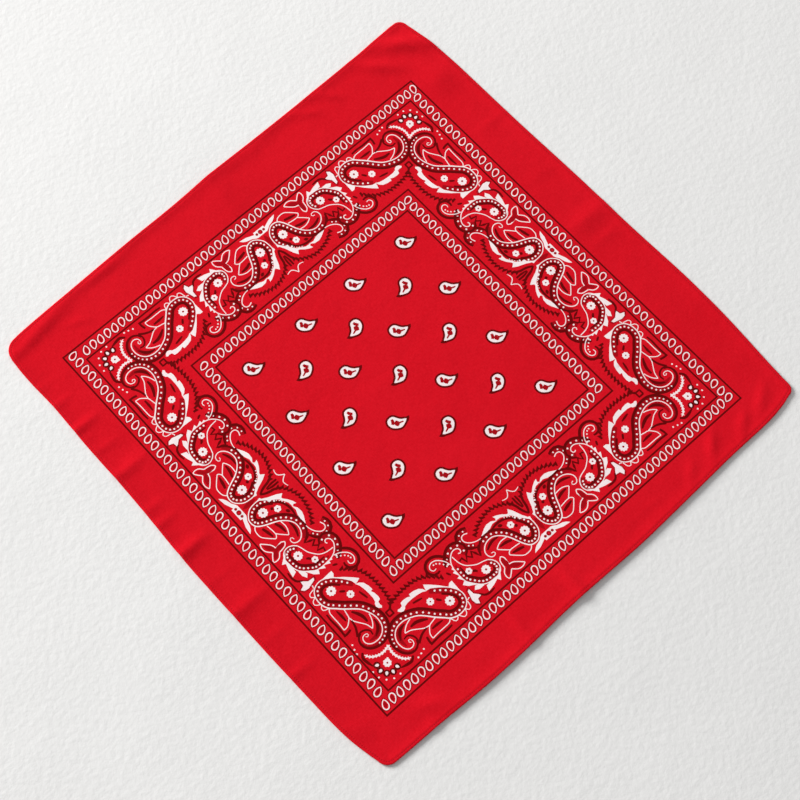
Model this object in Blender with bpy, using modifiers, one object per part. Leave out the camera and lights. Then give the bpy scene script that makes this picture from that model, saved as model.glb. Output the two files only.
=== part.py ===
"""A bandana lying flat: one square of cotton and its four turned-under hems.

Metres, +Z up. The origin is in the middle of the underside, at the height of the surface it lies on.
The cloth's sides run along X and Y. Each piece is an open surface that a Solidify modifier thickens.
"""

import math

import bmesh
import bpy
import numpy as np
from mathutils import Vector

MM = 0.001

# The cloth's wall, and the space left between two sewn pieces.
WALL = 1.0 * MM
SEAM_GAP = 0.3 * MM

# The hem's width, its tuck in from the panel's edge, and the run of the panel's slope beside it.
HEM_WIDTH = 4.2 * MM
HEM_TUCK = 0.3 * MM
HEM_RUN = 3.2 * MM

# The corners of the square before rounding, counter-clockwise from above, with each one's radius, in mm.
CORNERS = (
    # name, x, y, radius
    ("left_bottom", -264.2, -272.6, 16.0),
    ("right_bottom", 278.8, -271.6, 12.0),
    ("right_top", 274.9, 272.4, 9.0),
    ("left_top", -283.2, 264.9, 10.0),
)

# How far each side bows out from the straight line between its corners, in mm, counter-clockwise.
BOWS = {
    # (part of the side's length, distance outwards)
    "bottom": (
        (0, 0), (0.02, 0.6), (0.045, 1.7), (0.065, 1.5), (0.1, 0.4), (0.13, 0.4), (0.2, 2.2), (0.25, 2.8),
        (0.31, 2.9), (0.37, 3.8), (0.5, 7.4), (0.6, 8.0), (0.75, 8.3), (0.91, 7.3), (0.935, 6.6), (0.97, 3.6),
        (1, 0),
    ),
    "right": (
        (0, 0), (0.02, 0.7), (0.05, 1.3), (0.1, 2.0), (0.2, 5.5), (0.25, 6.2), (0.32, 6.1), (0.4, 5.0),
        (0.46, 5.4), (0.59, 7.7), (0.7, 6.6), (0.84, 4.8), (0.93, 5.4), (0.965, 4.5), (1, 0),
    ),
    "top": (
        (0, 0), (0.02, 0.5), (0.06, 2.3), (0.12, 5.5), (0.18, 8.0), (0.28, 9.3), (0.4, 7.7), (0.55, 7.8),
        (0.7, 6.5), (0.88, 6.8), (0.93, 5.5), (0.97, 3.0), (1, 0),
    ),
    "left": (
        (0, 0), (0.02, 0.6), (0.05, -0.2), (0.1, -0.8), (0.2, -0.4), (0.27, -0.1), (0.4, 1.0), (0.47, 1.7),
        (0.6, 1.2), (0.7, 2.1), (0.8, 1.8), (0.92, 1.3), (0.98, 1.0), (1, 0),
    ),
}
BOW_BLEND = 0.03
BOW_SAMPLES = 7
BOW_REACH = 75.0 * MM

# The soft folds in the margin, as ridges: centre, direction, length, width and height, in mm and degrees.
FOLDS = (
    # name, x, y, angle, length, width, height
    ("corner_left_top", -254, 243, 52, 106, 18, 3.2),
    ("left_upper", -257, 208, 44, 88, 14, 2.0),
    ("left_middle", -266, 146, 43, 48, 9, 1.5),
    ("left_below_middle", -265, 115, 59, 50, 9, 1.4),
    ("left_packing", -268, -5, 0, 150, 60, 2.6),
    ("left_long", -263, -147, 90, 92, 8, 1.1),
    ("corner_left_bottom", -255, -235, 98, 126, 13, 2.0),
    ("bottom_far_left", -153, -269, 90, 68, 8.5, 1.8),
    ("bottom_left", -92, -265, 90, 90, 13, 2.0),
    ("bottom_middle", 5, -272, 90, 78, 13, 2.1),
    ("bottom_right", 81, -267, 90, 90, 15, 2.1),
    ("bottom_far_right", 159, -272, 86, 58, 8, 1.0),
    ("right_edge", 287, 0, 90, 1100, 120, 2.2),
    ("right_bottom", 265, -197, 55, 62, 15, 1.8),
    ("right_lower", 271, -92, 0, 64, 11, 1.3),
    ("right_packing", 274, -26, 0, 78, 13, 1.9),
    ("right_above_middle", 266, 135, 132, 40, 10, 1.1),
    ("right_upper", 261, 169, 135, 56, 10, 1.7),
    ("right_top", 266, 207, 127, 46, 9, 1.6),
    ("corner_right_top", 262, 236, 124, 44, 10, 1.4),
    ("top_middle", 9, 253, 90, 84, 22, 1.6),
    ("top_left", -206, 248, 90, 62, 36, 1.8),
)

# The rings of points that carry the panel, by their distance in from the edge, and the points in each.
HEM_END = HEM_TUCK + HEM_WIDTH + SEAM_GAP
RINGS = (0.0, HEM_END, HEM_END + HEM_RUN, 15 * MM, 26 * MM, 40 * MM, 58 * MM)
SIDE_STEPS = 54
CORNER_STEPS = 4
LEAST_RADIUS = 0.8 * MM

RED = (0.62, 0.008, 0.02, 1.0)
ROUGHNESS = 0.85

SIDES = tuple(BOWS)


def clear_scene():
    for scene_object in list(bpy.data.objects):
        bpy.data.objects.remove(scene_object, do_unlink=True)


def cotton(name):
    """A plain red cotton for one piece."""
    material = bpy.data.materials.new(name)
    material.use_nodes = True
    shader = material.node_tree.nodes["Principled BSDF"]
    shader.inputs["Base Color"].default_value = RED
    shader.inputs["Roughness"].default_value = ROUGHNESS
    shader.inputs["Metallic"].default_value = 0.0
    return material


def bow(side, part):
    """How far the side stands out from its straight line at this part of its length, as a smooth curve."""
    parts, distances = zip(*BOWS[side])
    reach = min(BOW_BLEND, part, 1 - part)
    samples = part + np.linspace(-reach, reach, BOW_SAMPLES)
    return float(np.interp(samples, parts, distances).mean()) * MM


def ring(inset):
    """The outline moved in by this distance: for each side its long stretch, then the next corner's arc."""
    count = len(CORNERS)
    places = [Vector((x, y)) * MM for _, x, y, _ in CORNERS]
    along = [(places[(i + 1) % count] - places[i]).normalized() for i in range(count)]
    moved = [places[i] + inset * (along[i] - along[i - 1]) for i in range(count)]
    radii = [max(radius * MM - inset, LEAST_RADIUS) for _, _, _, radius in CORNERS]
    keep = max(0.0, 1 - inset / BOW_REACH)

    points = []
    for i, side in enumerate(SIDES):
        after = (i + 1) % count
        outward = Vector((along[i].y, -along[i].x))
        start = moved[i] + along[i] * radii[i]
        end = moved[after] - along[i] * radii[after]
        for step in range(SIDE_STEPS + 1):
            part = step / SIDE_STEPS
            points.append(start.lerp(end, part) + outward * bow(side, part) * keep)
        centre = end - outward * radii[after]
        for step in range(1, CORNER_STEPS):
            angle = math.radians(90) * step / CORNER_STEPS
            arm = outward * math.cos(angle) + along[i] * math.sin(angle)
            points.append(centre + arm * radii[after])
    return points


def fold_lift(x, y):
    """How high the folds lift the cloth here: each is a rounded ridge that fades out at both its ends."""
    lift = 0.0
    for _, fold_x, fold_y, angle, length, width, height in FOLDS:
        turn = math.radians(angle)
        dx = x - fold_x * MM
        dy = y - fold_y * MM
        lengthways = (dx * math.cos(turn) + dy * math.sin(turn)) / (length * MM / 2)
        crossways = (dy * math.cos(turn) - dx * math.sin(turn)) / (width * MM / 2)
        if abs(lengthways) < 1:
            fade = math.cos(lengthways * math.pi / 2) ** 2
            lift += height * MM * fade * math.exp(-crossways * crossways)
    return lift


def add_piece(name, surface, collection):
    """Turns an open surface into a named solid. It thickens upwards: the surface is the piece's underside."""
    mesh = bpy.data.meshes.new(name)
    surface.to_mesh(mesh)
    surface.free()
    mesh.materials.append(cotton(name))
    piece = bpy.data.objects.new(name, mesh)
    collection.objects.link(piece)
    solidify = piece.modifiers.new("wall", "SOLIDIFY")
    solidify.thickness = WALL
    solidify.offset = 1.0
    solidify.use_even_offset = True
    return piece


def ring_points(inset, base):
    """The ring's points in space: the base height, and the folds on top of it."""
    return [(x, y, base + fold_lift(x, y)) for x, y in ring(inset)]


def add_panel(collection):
    """The square of cloth: it lies over the hem round its edge, and on the surface inside it."""
    over_hem = WALL + SEAM_GAP
    surface = bmesh.new()
    loops = []
    for number, inset in enumerate(RINGS):
        base = over_hem if number < 2 else 0.0
        last = number == len(RINGS) - 1
        places = [(x, y, 0.0) for x, y in ring(inset)] if last else ring_points(inset, base)
        loops.append([surface.verts.new(place) for place in places])
    for outer, inner in zip(loops, loops[1:]):
        for i in range(len(outer)):
            after = (i + 1) % len(outer)
            surface.faces.new((outer[i], outer[after], inner[after], inner[i]))
    surface.faces.new(loops[-1])
    return add_piece("panel", surface, collection)


def add_hem(number, side, collection):
    """One side's hem: a strip under the panel's edge, from one corner's middle to the next one's."""
    outer = ring_points(HEM_TUCK, 0.0)
    inner = ring_points(HEM_TUCK + HEM_WIDTH, 0.0)
    side_points = SIDE_STEPS + CORNER_STEPS
    half_corner = CORNER_STEPS // 2
    first = number * side_points - half_corner
    surface = bmesh.new()
    edges = []
    for points in (outer, inner):
        places = [Vector(points[i % len(points)]) for i in range(first, first + side_points + 1)]
        places[0] += (places[1] - places[0]).normalized() * SEAM_GAP / 2
        places[-1] += (places[-2] - places[-1]).normalized() * SEAM_GAP / 2
        edges.append([surface.verts.new(place) for place in places])
    for i in range(side_points):
        surface.faces.new((edges[0][i], edges[0][i + 1], edges[1][i + 1], edges[1][i]))
    return add_piece(f"hem_{side}", surface, collection)


def build():
    clear_scene()
    collection = bpy.data.collections.new("bandana")
    bpy.context.scene.collection.children.link(collection)
    panel = add_panel(collection)
    for number, side in enumerate(SIDES):
        hem = add_hem(number, side, collection)
        hem.parent = panel


build()
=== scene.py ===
"""The looks of a red cotton bandana that lies flat: its printed panel, its four hems and its stitching.

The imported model's frame is in metres. Sizes below are in millimetres, and MM turns them into metres.
"""
import math

import bpy
import numpy as np
from mathutils import Matrix, Vector
from mathutils.geometry import delaunay_2d_cdt


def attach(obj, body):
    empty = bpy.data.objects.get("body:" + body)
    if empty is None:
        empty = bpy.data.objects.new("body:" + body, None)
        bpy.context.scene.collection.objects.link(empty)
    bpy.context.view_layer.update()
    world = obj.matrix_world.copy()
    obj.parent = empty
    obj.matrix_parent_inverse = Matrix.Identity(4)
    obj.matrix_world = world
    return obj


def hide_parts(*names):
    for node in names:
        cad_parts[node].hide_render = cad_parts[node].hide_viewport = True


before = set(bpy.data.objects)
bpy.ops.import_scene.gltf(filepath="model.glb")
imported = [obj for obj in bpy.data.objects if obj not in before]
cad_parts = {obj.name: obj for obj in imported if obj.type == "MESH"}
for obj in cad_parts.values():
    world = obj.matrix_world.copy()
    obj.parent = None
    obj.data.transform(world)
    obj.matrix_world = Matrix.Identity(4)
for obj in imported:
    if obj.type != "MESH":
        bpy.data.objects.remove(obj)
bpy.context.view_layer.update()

MM = 0.001

# ================================================================ the panel: its outline
# The real piece is one square of plain-woven cotton, cut by hand, so no side is quite straight and no
# corner quite square. Its edge is turned under all round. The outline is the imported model's own.

CORNERS = (
    # name, x, y, radius
    ("left_bottom", -264.2, -272.6, 16.0),
    ("right_bottom", 278.8, -271.6, 12.0),
    ("right_top", 274.9, 272.4, 9.0),
    ("left_top", -283.2, 264.9, 10.0),
)
BOWS = {
    # side: (part of its length, distance outwards)
    "bottom": (
        (0, 0), (0.02, 0.6), (0.045, 1.7), (0.065, 1.5), (0.1, 0.4), (0.13, 0.4), (0.2, 2.2), (0.25, 2.8),
        (0.31, 2.9), (0.37, 3.8), (0.5, 7.4), (0.6, 8.0), (0.75, 8.3), (0.91, 7.3), (0.935, 6.6),
        (0.97, 3.6), (1, 0),
    ),
    "right": (
        (0, 0), (0.02, 0.7), (0.05, 1.3), (0.1, 2.0), (0.2, 5.5), (0.25, 6.2), (0.32, 6.1), (0.4, 5.0),
        (0.46, 5.4), (0.59, 7.7), (0.7, 6.6), (0.84, 4.8), (0.93, 5.4), (0.965, 4.5), (1, 0),
    ),
    "top": (
        (0, 0), (0.02, 0.5), (0.06, 2.3), (0.12, 5.5), (0.18, 8.0), (0.28, 9.3), (0.4, 7.7), (0.55, 7.8),
        (0.7, 6.5), (0.88, 6.8), (0.93, 5.5), (0.97, 3.0), (1, 0),
    ),
    "left": (
        (0, 0), (0.02, 0.6), (0.05, -0.2), (0.1, -0.8), (0.2, -0.4), (0.27, -0.1), (0.4, 1.0), (0.47, 1.7),
        (0.6, 1.2), (0.7, 2.1), (0.8, 1.8), (0.92, 1.3), (0.98, 1.0), (1, 0),
    ),
}
BOW_BLEND = 0.03
BOW_SAMPLES = 7
BOW_REACH = 75.0
SIDE_STEPS = 168
CORNER_STEPS = 8
LEAST_RADIUS = 0.8


def bow(side, part):
    """How far the side stands out from its straight line at these parts of its length, smoothed."""
    parts, distances = np.array(BOWS[side]).T
    reach = np.minimum(BOW_BLEND, np.minimum(part, 1 - part))
    samples = part + reach * np.linspace(-1, 1, BOW_SAMPLES)[:, None]
    return np.interp(samples, parts, distances).mean(axis=0)


def ring(inset):
    """The outline moved in by this distance: for each side its long stretch, then the next corner's arc."""
    places = np.array([(x, y) for _, x, y, _ in CORNERS])
    along = np.roll(places, -1, axis=0) - places
    along /= np.linalg.norm(along, axis=1, keepdims=True)
    moved = places + inset * (along - np.roll(along, 1, axis=0))
    radii = [max(radius - inset, LEAST_RADIUS) for _, _, _, radius in CORNERS]
    keep = max(0.0, 1 - inset / BOW_REACH)
    part = np.linspace(0, 1, SIDE_STEPS + 1)
    turn = np.linspace(0, math.pi / 2, CORNER_STEPS + 1)[1:-1, None]
    stretches = []
    for i, side in enumerate(BOWS):
        after = (i + 1) % len(CORNERS)
        outward = along[i][::-1] * (1, -1)
        start = moved[i] + along[i] * radii[i]
        end = moved[after] - along[i] * radii[after]
        stretches.append(start + (end - start) * part[:, None] + outward * bow(side, part)[:, None] * keep)
        centre = end - outward * radii[after]
        stretches.append(centre + (outward * np.cos(turn) + along[i] * np.sin(turn)) * radii[after])
    return np.vstack(stretches)


# ================================================================ the panel: how it lies
# The cotton was folded small in its packet, so faint straight folds cross it. Its hems pull a little,
# which lifts the margin in soft ridges, most of all by the corners. Each ridge fades out at its ends.

FOLDS = (
    # x, y, angle, length, width, height, bend, softness: 2 is a soft ridge and 1 a sharp crease
    (-254, 243, 52, 106, 16, 3.7, 6, 2),
    (-257, 208, 44, 88, 13, 2.4, 0, 2),
    (-266, 146, 43, 48, 9, 1.5, 0, 2),
    (-265, 115, 59, 50, 9, 1.4, 0, 2),
    (-267, 39, 90, 90, 8, 0.5, 0, 2),
    (-263, -147, 90, 92, 8, 1.1, 0, 2),
    (-255, -235, 98, 126, 12, 2.3, 0, 2),
    (-238, -199, 62, 40, 7, 0.6, 0, 2),
    (-207, -267, 90, 30, 6, 0.4, 0, 2),
    (-185, -270, 86, 46, 9, 0.9, 0, 2),
    (-153, -269, 90, 68, 8.5, 1.8, 0, 2),
    (-123, -263, 90, 52, 9, 0.8, 0, 2),
    (-92, -265, 90, 90, 13, 2.0, 0, 1.3),
    (-48, -271, 90, 56, 10, 0.8, 0, 2),
    (-30, -271, 90, 52, 8, 1.0, 0, 2),
    (5, -272, 90, 78, 12, 2.5, 0, 1.5),
    (44, -271, 90, 44, 8, 0.45, 0, 2),
    (81, -267, 90, 90, 15, 2.1, 0, 1.3),
    (119, -265, 90, 50, 12, 0.5, 0, 2),
    (159, -272, 86, 58, 8, 1.0, 0, 2),
    (231, -270, 33, 56, 14, 0.9, 0, 2),
    (265, -197, 55, 62, 15, 1.8, 0, 2),
    (285, -212, 180, 44, 9, 0.9, 0, 2),
    (271, -92, 180, 64, 11, 1.3, 0, 2),
    (274, -26, 180, 78, 13, 1.9, 0, 2),
    (266, 135, 132, 40, 10, 1.1, 0, 2),
    (261, 169, 135, 56, 10, 1.7, 0, 2),
    (266, 207, 127, 46, 9, 1.6, 0, 2),
    (262, 236, 124, 44, 10, 1.4, 0, 2),
    (263, 83, 90, 110, 4, 0.25, 0, 2),
    (9, 253, 90, 84, 22, 1.6, 0, 2),
    (36, 253, 90, 60, 10, 0.5, 0, 2),
    (-58, 254, 90, 52, 11, 0.35, 0, 2),
    (-134, 255, 90, 62, 10, 0.5, 0, 2),
    (-206, 248, 90, 62, 36, 1.8, 0, 2),
    (254, 250, 132, 42, 11, 0.6, 0, 2),
    # the lifted right edge, and the packing fold's end on the left
    (287, 0, 90, 1100, 120, 2.2, 0, 2),
    (-268, -5, 0, 150, 60, 3.0, 0, 1.2),
)
PACKING_FOLDS = (
    # runs along, its place, width, height
    ("y", 7.0, 9.0, 0.16),
    ("y", -132.0, 8.0, 0.07),
    ("y", 144.0, 8.0, 0.07),
    ("x", -10.0, 9.0, 0.14),
    ("x", 128.0, 8.0, 0.06),
    ("x", -146.0, 8.0, 0.06),
)
SWELLS = (
    # turns per metre along x and y, start, height
    (5.1, 2.3, 0.4, 0.10),
    (-3.2, 6.7, 1.9, 0.09),
    (9.4, 7.9, 4.1, 0.05),
    (12.7, -10.3, 2.6, 0.04),
)
# How close the underside's lowest places come to the surface.
LEAST_LIE = 0.04


def lie(points):
    """How high the cloth's underside is above the surface that it lies on, at each point."""
    x, y = points[:, 0], points[:, 1]
    lift = np.full(len(points), LEAST_LIE)
    for across_x, across_y, start, height in SWELLS:
        wave = 2 * math.pi * MM * (across_x * x + across_y * y) + start
        lift += height * (1 + np.sin(wave))
    for runs, place, width, height in PACKING_FOLDS:
        off = (x if runs == "y" else y) - place
        lift += height * np.exp(-((off / width * 2) ** 2))
    for fold_x, fold_y, angle, length, width, height, bend, softness in FOLDS:
        turn = math.radians(angle)
        dx, dy = x - fold_x, y - fold_y
        lengthways = (dx * math.cos(turn) + dy * math.sin(turn)) / (length / 2)
        crossways = dy * math.cos(turn) - dx * math.sin(turn) - bend * (1 - lengthways**2)
        fade = np.cos(np.clip(lengthways, -1, 1) * math.pi / 2) ** 2
        lift += height * fade * np.exp(-np.abs(crossways / width * 2) ** softness)
    return lift


# ================================================================ the panel: its print
# Three screens print the upper face over the red dye: a dark line, a duller red for the shaded parts, and
# an opaque white. A frame of drops, a border of paisleys and a field of commas fill one square, as on any
# bandana of the kind. One half of a side is drawn, then mirrored and turned to make the whole border.

DYE, WHITE, DARK, SHADE = range(4)

# The printed square's half side and the width of its band of drops, the same of the inner frame, and the
# width of the dark lines along both bands.
HALF = 231.2
FRAME_BAND = 16.2
INNER_HALF = 143.6
INNER_BAND = 16.6
FRAME_LINE = 1.05

# Where the printed square's corners came to lie on the cloth.
PRINTED_CORNERS = {
    "left_bottom": (-218.7, -234.5),
    "right_bottom": (242.7, -237.8),
    "right_top": (245.1, 226.4),
    "left_top": (-221.8, 223.2),
}


def run_of(path):
    """How far along the path each of its points is."""
    return np.concatenate(([0], np.cumsum(np.linalg.norm(np.diff(path, axis=0), axis=1))))


def evenly(path, step, loop=False):
    """The same path with its points spaced evenly."""
    run = run_of(path)
    at = np.linspace(0, run[-1], max(2, round(run[-1] / step) + 1))
    if loop:
        at = at[:-1]
    return np.column_stack([np.interp(at, run, path[:, axis]) for axis in (0, 1)])


def smooth(knots, step=2.0, loop=False):
    """A soft curve through the knots, as evenly spaced points."""
    knots = np.array(knots, float)
    if loop:
        knots = np.vstack((knots[-2:], knots, knots[:3]))
    place = np.concatenate(([0], np.cumsum(np.sqrt(np.linalg.norm(np.diff(knots, axis=0), axis=1)))))
    slope = np.gradient(knots, place, axis=0)
    first, last = (place[2], place[-3]) if loop else (place[0], place[-1])
    at = np.linspace(first, last, 12 * len(knots))
    i = np.clip(np.searchsorted(place, at, side="right") - 1, 0, len(knots) - 2)
    gap = (place[i + 1] - place[i])[:, None]
    w = (at - place[i])[:, None] / gap
    curve = (
        (2 * w**3 - 3 * w**2 + 1) * knots[i]
        + (w**3 - 2 * w**2 + w) * gap * slope[i]
        + (3 * w**2 - 2 * w**3) * knots[i + 1]
        + (w**3 - w**2) * gap * slope[i + 1]
    )
    return evenly(curve, step, loop)


def across(path, loop=False):
    """At each point of a path, the direction square to it."""
    if loop:
        along = np.roll(path, -1, axis=0) - np.roll(path, 1, axis=0)
    else:
        along = np.gradient(path, axis=0)
    along /= np.linalg.norm(along, axis=1, keepdims=True)
    return along[:, ::-1] * (-1, 1)


def beside(path, distance, loop=False):
    """The path moved sideways."""
    return path + across(path, loop) * np.reshape(distance, (-1, 1))


def stroke(path, width, taper=(1, 1)):
    """A brush stroke's outline. taper is its width at even steps from start to end, as parts of width."""
    part = np.linspace(0, 1, len(path))
    half = width / 2 * np.interp(part, np.linspace(0, 1, len(taper)), taper)
    side = across(path) * half[:, None]
    return np.vstack((path + side, (path - side)[::-1]))


def disc(x, y, radius, sides=7):
    turn = np.arange(sides) * 2 * math.pi / sides
    return np.column_stack((x + radius * np.cos(turn), y + radius * np.sin(turn)))


def rosette(x, y, radius, petals, notch=0.86):
    """A round flower with a notch between its petals."""
    turn = np.arange(petals * 3) * 2 * math.pi / (petals * 3)
    reach = radius * np.tile((notch, 1, 1), petals)
    return np.column_stack((x + reach * np.cos(turn), y + reach * np.sin(turn)))


def leaf(tip, root, left, right=None, steps=6):
    """A pointed leaf. left and right are how far it bulges on each side, as parts of its length."""
    tip, root = np.array(tip, float), np.array(root, float)
    along = root - tip
    side = along[::-1] * (-1, 1)
    part = np.linspace(0, 1, steps)[:, None]
    arch = 4 * part * (1 - part)
    one = tip + along * part + side * arch * left
    two = tip + along * part - side * arch * (left if right is None else right)
    return np.vstack((one, two[-2:0:-1]))


def teardrop(x, y, length, width, turn, steps):
    """A drop that is round at one end and pointed at the other. turn is where its point looks."""
    t = np.arange(steps) * 2 * math.pi / steps
    along = length / 2 * np.cos(t)
    aside = width / 2 * 1.16 * np.sin(t) * np.sin(t / 2) ** 0.5
    c, s = math.cos(turn), math.sin(turn)
    return np.column_stack((x + along * c - aside * s, y + along * s + aside * c))


class Motif:
    """A group of printed shapes, each an ink and an outline. A later shape prints over an earlier one."""

    def __init__(self):
        self.shapes = []

    def fill(self, ink, *outlines):
        for outline in outlines:
            self.shapes.append((ink, np.asarray(outline, float)))

    def brush(self, ink, width, knots, taper=(1, 1)):
        self.fill(ink, stroke(smooth(knots), width, taper))

    def lines(self, *paths, width=1.25):
        """Thin white lines, each through its own knots."""
        for knots in paths:
            self.brush(WHITE, width, knots)

    def dots(self, path, pitches, size=2.1, gap=0.0):
        """White dots along a path, or this far beside it. A row of pitches is a distance along the path,
        and how far apart the dots are there."""
        run = run_of(path)
        line = beside(path, gap)
        at = pitches[0][1] / 2
        while at < run[-1]:
            step = np.interp(at, *zip(*pitches))
            x, y = [np.interp(at, run, line[:, axis]) for axis in (0, 1)]
            self.fill(WHITE, disc(x, y, min(size, 0.62 * step) / 2, 6))
            at += step

    def scribble(self, knots, height=2.9, pitch=4.3, width=3.4, lean=0.5):
        """A dark line that swings to and fro across the curve through the knots, thick on one side."""
        path = smooth(knots)
        run = run_of(path)
        turns = max(2, round(run[-1] / pitch)) * 2
        swing = np.where(np.arange(turns + 1) % 2, 0.5, -0.5) * height
        at = np.clip(np.linspace(0, run[-1], turns + 1) + swing * lean, 0, run[-1])
        side = across(path)
        zigzag = [np.interp(at, run, path[:, k]) + np.interp(at, run, side[:, k]) * swing for k in (0, 1)]
        thick_and_thin = np.where(np.arange(turns + 1) % 2, 1, 0.42)
        self.fill(DARK, stroke(np.column_stack(zigzag), width, thick_and_thin))

    def flower(self, x, y, radius, petals, eye=0.8):
        self.fill(WHITE, rosette(x, y, radius, petals))
        self.fill(SHADE, disc(x, y, eye, 6))

    def placed(self, side, mirror=1, half=HALF, slip=(0, 0)):
        """The shapes put on one of the square's sides, and slipped this far along it and in. Their points
        are drawn as the distance from the side's middle, then the distance in from the outer line."""
        out = []
        for ink, outline in self.shapes:
            x, y = -(outline[:, 0] * mirror + slip[0]), half - outline[:, 1] - slip[1]
            for _ in range(side):
                x, y = y, -x
            out.append((ink, np.column_stack((x, y))))
        return out


def corner_flower():
    """The flower in the square's corner, with its buds, its spray of dots and its garland."""
    motif = Motif()
    x, y = 196.4, HALF - 196.4
    buds = [math.radians(45 + 36.5 * k) for k in range(-2, 3)]
    buds = [(x + 9.8 * math.cos(turn), y - 9.8 * math.sin(turn), turn) for turn in buds]
    motif.fill(DARK, *[disc(bud_x, bud_y, 3.1, 10) for bud_x, bud_y, _ in buds])
    motif.fill(WHITE, *[teardrop(bud_x, bud_y, 4.3, 3.2, -turn, 10) for bud_x, bud_y, turn in buds])
    for turn in [math.radians(45 + 26.5 * k) for k in range(-2, 3)]:
        motif.fill(WHITE, disc(x + 15.6 * math.cos(turn), y - 15.6 * math.sin(turn), 1.1, 6))
    motif.fill(WHITE, rosette(x, y, 4.2, 8), disc(x - 3, y + 3, 1.2, 6))
    motif.fill(SHADE, disc(x, y, 0.7, 5))
    # half of the garland, which is then mirrored in the corner's diagonal
    garland = Motif()
    spine = smooth([
        (185, 46.5), (186.5, 41), (186.5, 36), (185, 31.5), (183, 28), (180.5, 25.5), (177, 24),
    ], 2.9)
    garland.brush(DARK, 2.1, [(190, 23), (184, 21.5), (178.5, 21), (174.5, 24)], (0.3, 1, 1, 0.6))
    garland.fill(WHITE, stroke(spine, 2.1, (0.7, 1, 1, 1, 1, 0.9, 0.5)))
    for before, here in zip(spine, spine[1:]):
        ahead = (here - before) / np.linalg.norm(here - before)
        for aside in (ahead[::-1] * (-1, 1), ahead[::-1] * (1, -1)):
            garland.fill(WHITE, leaf(before + 1.9 * aside + 1.2 * ahead, before, 0.32, steps=4))
    garland.fill(WHITE, disc(172, 19.5, 1.1, 6), disc(167.5, 20.5, 1.1, 6), disc(163, 22, 1.1, 6))
    garland.brush(DARK, 1.1, [(161, 69), (159, 72), (157.5, 74.5)], (0.5, 1, 1))
    for start, end in (((160, 70.5), (166, 70.5)), ((166, 71), (166, 65))):
        garland.fill(DARK, stroke(np.array([start, end], float), 1.1))
    motif.shapes += garland.shapes
    motif.shapes += [(ink, HALF - outline[:, ::-1]) for ink, outline in garland.shapes]
    return motif


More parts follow.
